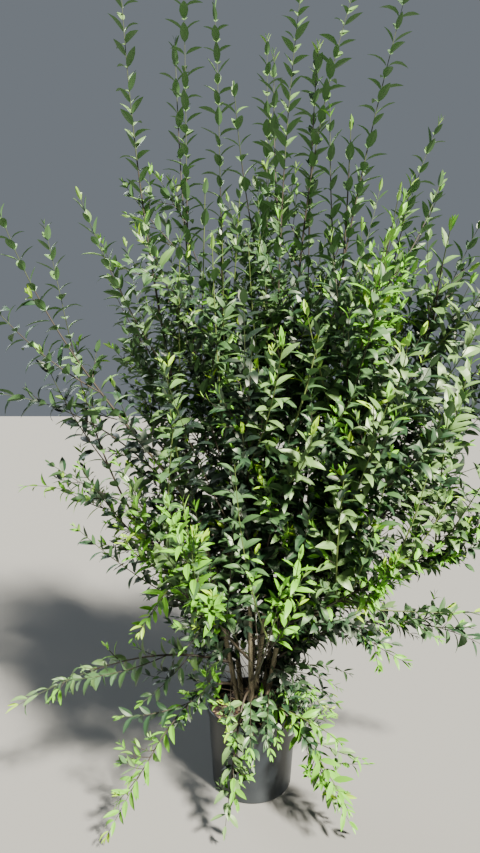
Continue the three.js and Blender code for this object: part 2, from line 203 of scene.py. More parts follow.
band = POT_HEIGHT - RIM_BAND
inner_top = pot_radius(POT_HEIGHT) - POT_WALL
rim_outer = POT_RIM_RADIUS - RIM_ROLL
bm = spin(
    [
        (0, 0),
        (POT_BASE_RADIUS - BASE_MARGIN, 0),
        *arc((POT_BASE_RADIUS - FOOT_ROUND, FOOT_ROUND), FOOT_ROUND, -90, -4, 5),
        (pot_radius(band / 2), band / 2),
        (pot_radius(band) - LEDGE_TUCK, band - LEDGE_DROP),
        *arc((pot_radius(band) + LEDGE_ROUND, band), LEDGE_ROUND, 180, 90, 2),
        *arc((rim_outer - BAND_TUCK, band + RIM_STEP), RIM_ROLL, -60, 0, 3),
        *arc((rim_outer, POT_HEIGHT - RIM_ROLL), RIM_ROLL, 0, 90, 5),
        *arc((inner_top + RIM_ROLL, POT_HEIGHT - RIM_ROLL), RIM_ROLL, 90, 180, 5),
        (pot_radius(band) - POT_WALL, band),
        (POT_BASE_RADIUS - POT_WALL, FOOT_ROUND + POT_WALL),
        (POT_BASE_RADIUS - POT_WALL - FOOT_ROUND, POT_WALL),
        (0, POT_WALL),
    ],
    POT_STEPS,
)
for degrees in SEAM_ANGLES:
    seam = bmesh.ops.create_cube(bm, size=1)["verts"]
    tall = band - 2 * FOOT_ROUND
    bmesh.ops.scale(bm, vec=(2 * SEAM_HEIGHT, SEAM_WIDTH, tall), verts=seam)
    bmesh.ops.translate(bm, vec=(0, 0, FOOT_ROUND + tall / 2), verts=seam)
    for corner in seam:
        corner.co.x += pot_radius(corner.co.z)
        corner.co.y *= SEAM_CREST if corner.co.x > pot_radius(corner.co.z) else 1
    turn = Matrix.Rotation(radians(degrees), 3, "Z")
    bmesh.ops.rotate(bm, cent=(0, 0, 0), matrix=turn, verts=seam)
pot = new_piece("nursery_pot", mesh_of(bm), [])

drill = bmesh.new()
for i in range(DRAIN_HOLES):
    angle = tau * (i + 0.5) / DRAIN_HOLES
    place = Matrix.Translation((DRAIN_CIRCLE * cos(angle), DRAIN_CIRCLE * sin(angle), 0))
    size = {"radius1": DRAIN_RADIUS, "radius2": DRAIN_RADIUS, "depth": 6 * POT_WALL}
    bmesh.ops.create_cone(drill, cap_ends=True, segments=DRAIN_STEPS, matrix=place, **size)
drills = new_piece("drills", mesh_of(drill), [])
cut = pot.modifiers.new("drain_holes", "BOOLEAN")
cut.operation = "DIFFERENCE"
cut.object = drills
drained = bpy.data.meshes.new_from_object(pot.evaluated_get(bpy.context.evaluated_depsgraph_get()))
pot.modifiers.clear()
pot.data = drained
pot.data.name = "nursery_pot"
bpy.data.objects.remove(drills)
pot.data.shade_smooth()
pot.data.set_sharp_from_angle(angle=radians(POT_CREASE))

# Black polypropylene: a satin, slightly grained skin that takes soft highlights, dulled by
# dust and dried splashes of compost towards the foot. The mould's grain is 0.3 mm wide in
# life and drawn at 1.1 mm to show.
pot_skin, tree, shader = new_material("moulded_polypropylene", POT_COLOUR, roughness=0.5)
place = add_node(tree, "TexCoord").outputs["Object"]
height = add_node(tree, "SeparateXYZ", [("Vector", place)]).outputs["Z"]
blotches = add_node(
    tree, "TexNoise", [("Vector", place)], Scale=1 / DUST_BLOTCH, Detail=6, Roughness=0.65
)
low = add_node(
    tree, "MapRange", [("Value", height)], From_Min=DUST_TOP, From_Max=0, To_Min=0.1, To_Max=0.75
)
dusty = add_node(
    tree, "Math", [(0, blotches.outputs["Fac"]), (1, low.outputs["Result"])], operation="MULTIPLY"
)
dust = add_node(
    tree, "MapRange", [("Value", dusty.outputs[0])], From_Min=0.12, From_Max=0.5, To_Max=0.45
)
mixed = add_node(tree, "Mix", [("Factor", dust.outputs["Result"])], data_type="RGBA")
mixed.inputs["A"].default_value = linear(POT_COLOUR)
mixed.inputs["B"].default_value = linear(POT_DUST)
tree.links.new(mixed.outputs["Result"], shader.inputs["Base Color"])
sheen = add_node(tree, "MapRange", [("Value", dust.outputs["Result"])], To_Min=0.42, To_Max=0.8)
tree.links.new(sheen.outputs["Result"], shader.inputs["Roughness"])
grain = add_node(tree, "TexNoise", [("Vector", place)], Scale=1 / POT_GRAIN, Detail=2)
bump = add_node(tree, "Bump", [("Height", grain.outputs["Fac"])], Strength=0.12, Distance=0.4 * MM)
tree.links.new(bump.outputs["Normal"], shader.inputs["Normal"])
pot.data.materials.append(pot_skin)
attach(pot, "root")
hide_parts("pot")


# The compost: moist peat and composted bark, filled into the pot by hand, level in the middle
# and lower at the edge. It is a turned body whose top is roughened by lumps and clods.
SOIL_TOP = 240 * MM
SOIL_BOTTOM = 4 * MM
SOIL_FOOT_MARGIN = 12 * MM
SOIL_WAIST = 200 * MM
SOIL_WAIST_GAP = 1 * MM
SOIL_GAP = 0.6 * MM
SOIL_SHOULDER = 8 * MM
SOIL_FALL = 1.5
SOIL_RINGS = 34
SOIL_STEPS = 150
SOIL_LEVEL_RADIUS = 72 * MM
LUMPS_PER_METRE = 60
LUMP_HEIGHT = 2.6
CLODS_PER_METRE = 190
CLOD_HEIGHT = 1.5
SOIL_SINK = 1.5
COMPOST_COLOURS = ("#18110c", "#35271b")
CRUMB_SIZE = 3.85 * MM

soil_edge = pot_radius(SOIL_TOP) - POT_WALL - SOIL_GAP


def soil_height(x, y):
    """The height of the compost's rough top."""
    reach = hypot(x, y)
    fall = max(0, (reach - SOIL_LEVEL_RADIUS) / (soil_edge - SOIL_LEVEL_RADIUS))
    lumps = noise.noise(Vector((x, y, 0)) * LUMPS_PER_METRE) * LUMP_HEIGHT
    lumps += noise.noise(Vector((x, y, 3)) * CLODS_PER_METRE) * CLOD_HEIGHT
    return SOIL_TOP - SOIL_SHOULDER * fall**SOIL_FALL + (lumps - SOIL_SINK) * MM


rings = [soil_edge * (1 - i / SOIL_RINGS) for i in range(SOIL_RINGS + 1)]
bm = spin(
    [
        (0, SOIL_BOTTOM),
        (POT_BASE_RADIUS - SOIL_FOOT_MARGIN, SOIL_BOTTOM),
        (pot_radius(SOIL_WAIST) - POT_WALL - SOIL_WAIST_GAP, SOIL_WAIST),
        *[(ring, SOIL_TOP) for ring in rings],
    ],
    SOIL_STEPS,
)
for corner in bm.verts:
    if corner.co.z > SOIL_TOP - 1e-4:
        corner.co.z = soil_height(corner.co.x, corner.co.y)
compost = new_piece("compost_top", mesh_of(bm), [])
compost.data.shade_smooth()

# Damp peat is matt and dark, and its crumbs are of many browns.
peat, tree, shader = new_material("peat_and_bark_compost", COMPOST_COLOURS[0], roughness=0.95)
place = add_node(tree, "TexCoord").outputs["Object"]
crumbs = add_node(tree, "TexNoise", [("Vector", place)], Scale=1 / CRUMB_SIZE, Detail=8, Roughness=0.7)
shades = add_node(tree, "ValToRGB", [("Fac", crumbs.outputs["Fac"])])
for stop, position, colour in zip(shades.color_ramp.elements, (0.35, 0.7), COMPOST_COLOURS):
    stop.position = position
    stop.color = linear(colour)
tree.links.new(shades.outputs["Color"], shader.inputs["Base Color"])
bump = add_node(tree, "Bump", [("Height", crumbs.outputs["Fac"])], Strength=0.8, Distance=2 * MM)
tree.links.new(bump.outputs["Normal"], shader.inputs["Normal"])
compost.data.materials.append(peat)
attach(compost, "root")
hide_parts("compost")


# The bark chips: flat splinters of composted pine bark, 5 to 20 mm long, that lie loose on
# the compost at all angles. A few rough shapes are copied, and all chips are one mesh.
CHIPS = 620
CHIP_SHAPES = 5
CHIP_SEED = 11
CHIP_LENGTHS = (5 * MM, 20 * MM)
CHIP_WIDTHS = (0.3, 0.6)
CHIP_THICKNESS = 0.22
CHIP_UNEVEN = 0.14
CHIP_TAPER = 0.25
CHIP_TILT = 0.35
CHIP_LIFT = 0.08
CHIP_MARGIN = 6 * MM
CHIP_FIBRE = 2.4 * MM
CHIP_COLOURS = ("#33241a", "#523b29", "#8d7252", "#1f1610", "#a98a70")
CHIP_SHADE = 0.35
CHIP_LIGHT = 1.5


def arrays_of(bm):
    """A bmesh's corners, triangles and each triangle's material number, as arrays."""
    bmesh.ops.triangulate(bm, faces=bm.faces)
    corners = np.array([corner.co for corner in bm.verts])
    triangles = np.array([[corner.index for corner in face.verts] for face in bm.faces])
    numbers = np.array([face.material_index for face in bm.faces])
    bm.free()
    return corners, triangles, numbers


def joined_mesh(parts):
    """One mesh from many parts, each its corners, triangles and material numbers."""
    starts = np.cumsum([0] + [len(corners) for corners, _, _ in parts])
    corners = np.concatenate([corners for corners, _, _ in parts])
    triangles = np.concatenate([tris + start for (_, tris, _), start in zip(parts, starts)])
    numbers = np.concatenate([numbers for _, _, numbers in parts])
    mesh = bpy.data.meshes.new("mesh")
    mesh.vertices.add(len(corners))
    mesh.vertices.foreach_set("co", corners.ravel())
    mesh.loops.add(3 * len(triangles))
    mesh.loops.foreach_set("vertex_index", triangles.ravel())
    mesh.polygons.add(len(triangles))
    mesh.polygons.foreach_set("loop_start", np.arange(0, 3 * len(triangles), 3))
    mesh.polygons.foreach_set("material_index", numbers)
    mesh.update(calc_edges=True)
    mesh.validate()
    return mesh


random = np.random.default_rng(CHIP_SEED)
chip_shapes = []
for _ in range(CHIP_SHAPES):
    bm = bmesh.new()
    bmesh.ops.create_cube(bm, size=1)
    bmesh.ops.subdivide_edges(bm, edges=bm.edges, cuts=1, use_grid_fill=True)
    for corner in bm.verts:
        corner.co += Vector(random.uniform(-CHIP_UNEVEN, CHIP_UNEVEN, 3))
        corner.co *= 1 - CHIP_TAPER * abs(corner.co.x)
    bmesh.ops.recalc_face_normals(bm, faces=bm.faces)
    chip_shapes.append(arrays_of(bm))

chips = []
for i in range(CHIPS):
    corners, triangles, numbers = chip_shapes[i % CHIP_SHAPES]
    reach = (soil_edge - CHIP_MARGIN) * sqrt(random.uniform())
    angle = random.uniform(0, tau)
    x, y = reach * cos(angle), reach * sin(angle)
    length = CHIP_LENGTHS[0] + (CHIP_LENGTHS[1] - CHIP_LENGTHS[0]) * random.uniform() ** 2
    width = length * random.uniform(*CHIP_WIDTHS)
    size = Matrix.Diagonal((length, width, length * CHIP_THICKNESS)).to_4x4()
    turn = Matrix.Rotation(random.uniform(0, tau), 4, "Z")
    tilt = Matrix.Rotation(random.uniform(-CHIP_TILT, CHIP_TILT), 4, "Y")
    place = Matrix.Translation((x, y, soil_height(x, y) + CHIP_LIFT * length))
    lie = np.array(place @ turn @ tilt @ size)
    tint = np.full(len(triangles), random.integers(len(CHIP_COLOURS)))
    chips.append((corners @ lie[:3, :3].T + lie[:3, 3], triangles, tint))

# Bark chips are matt and fibrous, paler where they have dried. The fibres are half a
# millimetre wide in life and drawn at 2.4 mm to show.
chip_finishes = []
for i, colour in enumerate(CHIP_COLOURS):
    dry, tree, shader = new_material(f"dry_bark_{i}", colour, roughness=0.9)
    place = add_node(tree, "TexCoord").outputs["Object"]
    fibres = add_node(tree, "TexNoise", [("Vector", place)], Scale=1 / CHIP_FIBRE, Detail=4, Roughness=0.7)
    streaks = add_node(tree, "Mix", [("Factor", fibres.outputs["Fac"])], data_type="RGBA")
    streaks.inputs["A"].default_value = [CHIP_SHADE * part for part in linear(colour)[:3]] + [1]
    streaks.inputs["B"].default_value = [min(CHIP_LIGHT * part, 1) for part in linear(colour)[:3]] + [1]
    tree.links.new(streaks.outputs["Result"], shader.inputs["Base Color"])
    bump = add_node(tree, "Bump", [("Height", fibres.outputs["Fac"])], Strength=0.5, Distance=0.6 * MM)
    tree.links.new(bump.outputs["Normal"], shader.inputs["Normal"])
    chip_finishes.append(dry)
chip_piece = new_piece("bark_chips", joined_mesh(chips), chip_finishes)
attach(chip_piece, "root")


# The whips: seven stems come out of the compost close together and each runs on as a long
# whip, and 32 side whips branch from them. Each is one smooth line. All that grows on the
# plant is set out along these lines, bare in the lower part and leafy above.
FOOT_HEIGHT = 235
STEM_BARE = 0.31
BOUGH_BARE = 0.24
CURVE_HANDLE = 0.38
LINE_POINTS = 200
LAST_SHARE = 0.9999
STEM_LEAVE = 80
STEM_RADIUS = 8 * MM
STEM_TAPER = 1.15
BOUGH_RADIUS = 5 * MM
BOUGH_TAPER = 1.1
TIP_RADIUS = 1.1 * MM
# Each stem's place at its foot, as its distance and its side from the pot's middle, its tip
# and the slope there, in millimetres and degrees.
STEMS = {
    "middle": (0, 0, (130, -100, 2350), 80),
    "left": (40, 195, (-350, -50, 2360), 88),
    "back_left": (40, 140, (-110, 130, 2320), 86),
    "back": (40, 95, (60, 340, 2080), 82),
    "back_right": (40, 45, (300, 20, 2400), 71),
    "right": (40, -15, (400, -130, 2330), 75),
    "front": (40, 265, (-30, -350, 1500), 76),
}
# Each side whip's stem, its height on the stem, the slope at which it leaves, its tip and the
# slope there. Those that have a bough among the solids are bare in their lower part.
WHIPS = {
    "left_high": ("left", 860, 54, (-680, -130, 1760), 74),
    "left_upright": ("left", 560, 36, (-600, 50, 1700), 78),
    "left_level": ("back_left", 690, 54, (-740, -80, 1230), 7),
    "left_mid": ("back_left", 420, 40, (-700, 60, 930), -4),
    "rear_left": ("back_left", 560, 45, (-430, 400, 1700), 72),
    "right_tall": ("back_right", 640, 52, (540, 100, 2000), 66),
    "rear_right": ("back_right", 480, 40, (450, 400, 1620), 66),
    "right_high": ("right", 700, 46, (600, -130, 1700), 64),
    "right_mid": ("right", 580, 36, (830, -50, 1420), 42),
    "right_level": ("right", 480, 34, (820, -230, 980), 24),
    "inner_left": ("back_left", 760, 72, (-190, -10, 2380), 88),
    "inner_right": ("middle", 740, 74, (40, 130, 2230), 86),
    "right_upright": ("back_right", 760, 70, (190, 150, 2210), 82),
    "right_front": ("right", 790, 58, (340, -330, 1700), 68),
    "rear_high": ("back", 660, 60, (-110, 460, 1600), 72),
    "front_high": ("middle", 520, 46, (400, -400, 1330), 60),
    "heart_front": ("front", 600, 62, (90, -330, 1190), 70),
    "heart_left": ("left", 460, 44, (-360, -210, 1060), 60),
    "heart_right": ("right", 620, 60, (340, -190, 1200), 62),
    "heart_back": ("back", 500, 52, (30, 330, 1180), 66),
    "heart_mid": ("middle", 640, 66, (-120, -180, 1400), 80),
    "front_left": ("front", 430, 42, (-200, -470, 1020), 66),
    "front_low": ("front", 360, 36, (60, -490, 840), 52),
    "front_right": ("front", 500, 34, (440, -370, 880), 38),
    "rear_low_left": ("back", 400, 34, (-320, 430, 1060), 40),
    "rear_low_right": ("back_right", 400, 34, (350, 440, 1020), 40),
    "left_low": ("left", 390, 24, (-670, -200, 360), -24),
    "right_low": ("right", 400, 42, (740, -60, 440), -34),
    "left_droop": ("left", 310, 32, (-400, -300, 45), -50),
    "right_droop": ("front", 290, 30, (270, -270, 50), -50),
    "rear_droop": ("back", 330, 36, (90, 400, 280), -36),
    "front_droop": ("front", 325, 36, (-80, -290, 50), -62),
}
UP = np.array([0.0, 0.0, 1.0])


def unit(vector):
    """A vector brought to length 1."""
    return vector / np.linalg.norm(vector)


def length_of(line):
    """The length of a line of points."""
    return np.linalg.norm(np.diff(line, axis=0), axis=1).sum()


def evenly(line, count):
    """The same line with this many points at even steps."""
    run = np.concatenate([[0], np.cumsum(np.linalg.norm(np.diff(line, axis=0), axis=1))])
    stops = np.linspace(0, run[-1], count)
    return np.stack([np.interp(stops, run, line[:, axis]) for axis in range(3)], axis=1)


def at(line, share):
    """The point and the direction at a share of an evenly spaced line."""
    place = min(max(share, 0), LAST_SHARE) * (len(line) - 1)
    i = int(place)
    return line[i] + (line[i + 1] - line[i]) * (place - i), unit(line[i + 1] - line[i])


def stretch(line, start, end, count):
    """Part of a line, between two shares of it."""
    return evenly(np.array([at(line, s)[0] for s in np.linspace(start, end, 3 * count)]), count)


def sloped(start, end, slope):
    """The direction from one point towards another, at a slope above the level."""
    level = unit(np.array([end[0] - start[0], end[1] - start[1], 0]))
    return level * cos(radians(slope)) + UP * sin(radians(slope))


def whip_line(foot, leaving, tip, slope):
    """One smooth whip from its foot to its tip."""
    reach = CURVE_HANDLE * np.linalg.norm(tip - foot)
    handles = [foot, foot + leaving * reach, tip - sloped(foot, tip, slope) * reach, tip]
    t = np.linspace(0, 1, LINE_POINTS)[:, None]
    weights = [(1 - t) ** 3, 3 * t * (1 - t) ** 2, 3 * t**2 * (1 - t), t**3]
    return evenly(sum(w * h for w, h in zip(weights, handles)), LINE_POINTS)


whips = {}
for name, (ring, side, tip, slope) in STEMS.items():
    side, tip = radians(side), np.array(tip) * MM
    foot = np.array([ring * cos(side), ring * sin(side), FOOT_HEIGHT]) * MM
    line = whip_line(foot, sloped(foot, tip, STEM_LEAVE), tip, slope)
    whips[name] = {"line": line, "bare": STEM_BARE, "foot_radius": STEM_RADIUS, "taper": STEM_TAPER}
for name, (stem, height, leave, tip, slope) in WHIPS.items():
    stem_line = whips[stem]["line"]
    foot = stem_line[np.argmax(stem_line[:, 2] >= height * MM)]
    tip = np.array(tip) * MM
    line = whip_line(foot, sloped(foot, tip, leave), tip, slope)
    bare = BOUGH_BARE if f"bough_{name}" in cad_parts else 0
    whips[name] = {"line": line, "bare": bare, "foot_radius": BOUGH_RADIUS, "taper": BOUGH_TAPER}


def whip_radius(whip, share):
    """A whip's radius at a share of its length."""
    return TIP_RADIUS + (whip["foot_radius"] - TIP_RADIUS) * (1 - share) ** whip["taper"]


# The stems and boughs: hard, pale grey-brown wood, 8 to 16 mm thick, with swellings where
# leaves and twigs once stood, shallow furrows and a flared foot at the compost. They are
# tubes along the whips, relieved by moving their corners.
FLARE = 0.7
FLARE_HEIGHT = 14 * MM
LIMB_STEP = 3.5 * MM
LIMB_OVERLAP = 0.02
BOUGH_START = 0.004
LIMB_BOTTOM = 232 * MM
NODE_SPACING = 38 * MM
NODE_LENGTH = 0.012
SWELLING = 0.11
FURROW = 0.35 * MM
FURROWS_PER_METRE = (420, 420, 60)
KNOBS_PER_METRE = 160
KNOB_SHARE = 0.6
BARK_COLOURS = ("#4c4535", "#7c735b", "#9a9076")
BARK_PATCH = 6.7 * MM
PATCH_STRETCH = 0.22
PORE_COLOUR = "#aba287"
PORE_SPACING = 4.8 * MM


def tubes(lines, radii, resolution):
    """One mesh of round limbs: lines of points, each with a radius at every point."""
    curve = bpy.data.curves.new("tubes", "CURVE")
    curve.dimensions = "3D"
    curve.bevel_depth = 1
    curve.bevel_resolution = resolution
    curve.use_fill_caps = True
    for line, radius in zip(lines, radii):
        spline = curve.splines.new("POLY")
        spline.points.add(len(line) - 1)
        spline.points.foreach_set("co", np.column_stack([line, np.ones(len(line))]).ravel())
        spline.points.foreach_set("radius", radius)
    holder = bpy.data.objects.new("tubes", curve)
    bpy.context.scene.collection.objects.link(holder)
    mesh = bpy.data.meshes.new_from_object(
        holder.evaluated_get(bpy.context.evaluated_depsgraph_get())
    )
    bpy.data.objects.remove(holder)
    bpy.data.curves.remove(curve)
    mesh.materials.clear()
    return mesh


limb_lines, limb_radii = [], []
for name, whip in whips.items():
    if whip["bare"] == 0:
        continue
    end = whip["bare"] + LIMB_OVERLAP
    length = length_of(whip["line"]) * end
    count = int(length / LIMB_STEP)
    start = 0 if name in STEMS else BOUGH_START
    line = stretch(whip["line"], start, end, count)
    run = np.linspace(0, length, count)
    radius = np.array([whip_radius(whip, end * s) for s in np.linspace(0, 1, count)])
    knots = np.exp(-(((run % NODE_SPACING) / NODE_SPACING - 0.5) ** 2) / NODE_LENGTH)
    flare = FLARE * np.exp(-run / FLARE_HEIGHT) if name in STEMS else 0
    limb_lines.append(line)
    limb_radii.append(radius * (1 + SWELLING * knots + flare))

limb_mesh = tubes(limb_lines, limb_radii, resolution=3)
places = np.array([corner.co for corner in limb_mesh.vertices])
normals = np.array([corner.normal for corner in limb_mesh.vertices])
furrows = [noise.noise(Vector(place)) for place in places * FURROWS_PER_METRE]
knobs = [noise.noise(Vector(place)) for place in places * KNOBS_PER_METRE]
relief = np.array(furrows) + KNOB_SHARE * np.array(knobs)
places += normals * (relief * FURROW)[:, None]
places[:, 2] = np.maximum(places[:, 2], LIMB_BOTTOM)
limb_mesh.vertices.foreach_set("co", places.ravel())
limb_mesh.shade_smooth()
limbs = new_piece("stems_and_boughs", limb_mesh, [])

# Smooth young bark: matt, grey-brown over green, in soft upright patches, with a scatter
# of small pale pores. The pores are 1 mm wide in life and drawn at 2 mm to show.
bark, tree, shader = new_material("smooth_grey_bark", BARK_COLOURS[1], roughness=0.8)
place = add_node(tree, "TexCoord").outputs["Object"]
upright = add_node(tree, "Mapping", [("Vector", place)], Scale=(1, 1, PATCH_STRETCH))
patches = add_node(
    tree, "TexNoise", [("Vector", upright.outputs[0])], Scale=1 / BARK_PATCH, Detail=7, Roughness=0.6
)
shades = add_node(tree, "ValToRGB", [("Fac", patches.outputs["Fac"])])
shades.color_ramp.elements.new(0.5)
for stop, position, colour in zip(shades.color_ramp.elements, (0.3, 0.5, 0.72), BARK_COLOURS):
    stop.position = position
    stop.color = linear(colour)
pores = add_node(tree, "TexVoronoi", [("Vector", place)], Scale=1 / PORE_SPACING)
spots = add_node(tree, "MapRange", [("Value", pores.outputs["Distance"])], From_Min=0.24, From_Max=0.16)
mixed = add_node(tree, "Mix", [("Factor", spots.outputs["Result"])], data_type="RGBA")
tree.links.new(shades.outputs["Color"], mixed.inputs["A"])
mixed.inputs["B"].default_value = linear(PORE_COLOUR)
tree.links.new(mixed.outputs["Result"], shader.inputs["Base Color"])
bump = add_node(tree, "Bump", [("Height", patches.outputs["Fac"])], Strength=0.5, Distance=1 * MM)
tree.links.new(bump.outputs["Normal"], shader.inputs["Normal"])
limbs.data.materials.append(bark)
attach(limbs, "root")
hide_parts(*[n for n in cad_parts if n.startswith(("stem_", "bough_"))])


# The twigs: 2 to 5 mm thick, they leave each whip's leafy part at a steady lean and turn up to
# the light, in the places that the solids' own rule gives, with finer ones and spurs between.
# Long rods rise beside each whip, and short shoots grow on the bare wood inside the crown.
GOLDEN_SHARE = 0.618
GOLDEN_ANGLE = 2.4
GOLDEN_STARTS = {"twig": 0.1, "spur": 0.4, "rod": 0.35, "inner": 0.3}
LEADER_POINTS = 120
LIMB_POINTS = 60
SHOOT_STEP = 0.03
SHOOT_POINTS = 6
NEARLY_UPRIGHT = 0.95
ROOT_RADII = {"rod": 2 * MM, "spur": 1 * MM, "inner": 1.3 * MM}
TWIG_RADIUS = 1.8 * MM
TWIG_TO_WHIP = 0.6
END_RADIUS = 0.75 * MM
SLIMMER = 0.6
FIRST_ABOVE_BARK = 0.06
FIRST_ON_LEAFY_WHIP = 0.14
LAST_TWIG = 0.8
TWIG_LEAN = 48
LEAN_CHANGE = 10
TURN_CHANGE = 0.4
TWIG_RISE = 0.4
DROOP_RISE = 1.3
TWIG_REACH = 0.34
REACH_LOSS = 0.85
SHORTEST = 0.07
TWIG_SPACING = 0.2
TWIG_SPREAD = (0.8, 1.15)
FINE_SPACING = 0.05
FINE_SPREAD = (0.25, 0.62)
FINE_ON_TALL = 0.75
SPUR_SPACING = 0.075
SPUR_LENGTHS = (0.06, 0.15)
SPUR_SHARES = (0.2, 0.8)
LONGEST_SPUR = 0.5
ROD_SPACING = 0.22
ROD_LEAN = 26
ROD_RISE = 0.8
ROD_SPREAD = (0.45, 0.85)
LAST_ROD = 0.62
LONGEST_ROD = 0.75
HIGHEST_ROD = 1.89
CROWN_DEPTH = 0.47
UNBRANCHED_ABOVE = 1.45
UNBRANCHED_RIGHT = 1.66
BRANCHED_HIGHER = ("right_high", "right_mid", "right_front")
BRANCHING_ENDS = (-0.2, 0.25)
INNER_SPACING = 0.022
BACK_INNER_SPACING = 0.012
INNER_LENGTHS = (0.1, 0.28)
INNER_LEAN = 58
INNER_LOWEST = 0.26
WINDOW_HEIGHTS = (0.27, 0.48)
WINDOW_RISE = 0.62
WINDOW_SIDES = (-0.085, 0.055)
WINDOW_BACK = 0.02
WHIP_SEEDS = 1000
# How thickly a whip is set with twigs and rods; a whip that isn't named has 1.
FULLNESS = {
    "left": 0.7, "left_high": 0.25, "left_upright": 0.3, "left_level": 0.3, "left_low": 0.3,
    "left_droop": 0.8, "front_droop": 1.2, "right_droop": 1.3, "right_upright": 0.6,
    "inner_right": 0.6, "middle": 0.8, "rear_right": 1.4, "rear_low_right": 1.7,
    "rear_low_left": 1.4, "right_low": 0.9, "right_level": 2, "right_mid": 1.8,
    "right_high": 2.2, "right_front": 1.7, "heart_right": 1.6, "heart_front": 1.5,
    "heart_left": 1.5, "heart_mid": 0.9, "front": 1.4, "front_high": 1.6, "front_left": 1.4,
    "front_low": 1.3, "front_right": 1.8,
}


def outward(along, angle):
    """A direction square to another, turned round it by an angle."""
    side = unit(np.cross(along, (1, 0, 0) if abs(along[2]) > NEARLY_UPRIGHT else UP))
    return side * cos(angle) + np.cross(along, side) * sin(angle)


def arched(root, middle, tip, count):
    """A line from a root to a tip that bends towards a middle point."""
    t = np.linspace(0, 1, count)[:, None]
    return evenly(root * (1 - t) ** 2 + 2 * middle * t * (1 - t) + tip * t**2, count)


def rising_line(root, along, angle, length, lean, rise, count):
    """A side shoot that leaves at a lean and then turns up."""
    leaving = along * cos(radians(lean)) + outward(along, angle) * sin(radians(lean))
    middle = root + leaving * length / 2
    tip = middle + unit(leaving + UP * rise) * length / 2
    return arched(root, middle, tip, count)


def golden(kind, i, low=0, high=1):
    """Where the i-th shoot of a kind stands on its parent, by the golden section."""
    return low + (high - low) * ((i * GOLDEN_SHARE + GOLDEN_STARTS[kind]) % 1)


def in_window(point):
    """Whether a point lies in the open space in front of the stems, which widens forwards."""
    x, y, z = point
    low, high = (height - WINDOW_RISE * y for height in WINDOW_HEIGHTS)
    return low < z < high and y < WINDOW_BACK and WINDOW_SIDES[0] < x < WINDOW_SIDES[1]


shoots = []


def add_shoot(whip, kind, line, radius, outer, green=None):
    """Notes a whip's shoot: its line, radii, how far out it stands and its own green."""
    shoot = {"whip": whip, "kind": kind, "line": line, "radius": radius, "outer": outer}
    shoots.append({**shoot, "green": green})


def grow(whip, kind, parent, share, angle, length, lean, outer, root_radius=None, rise=TWIG_RISE):
    """Adds a side shoot to a whip, unless it would leave the crown, and gives its line."""
    root, along = at(parent, share)
    count = SHOOT_POINTS + int(length / SHOOT_STEP)
    line = rising_line(root, along, angle, length, lean, rise, count)
    if abs(line[-1][1]) > CROWN_DEPTH:
        return None
    radius = np.linspace(root_radius or ROOT_RADII[kind], END_RADIUS, count)
    add_shoot(whip, kind, line, radius, outer)
    return line


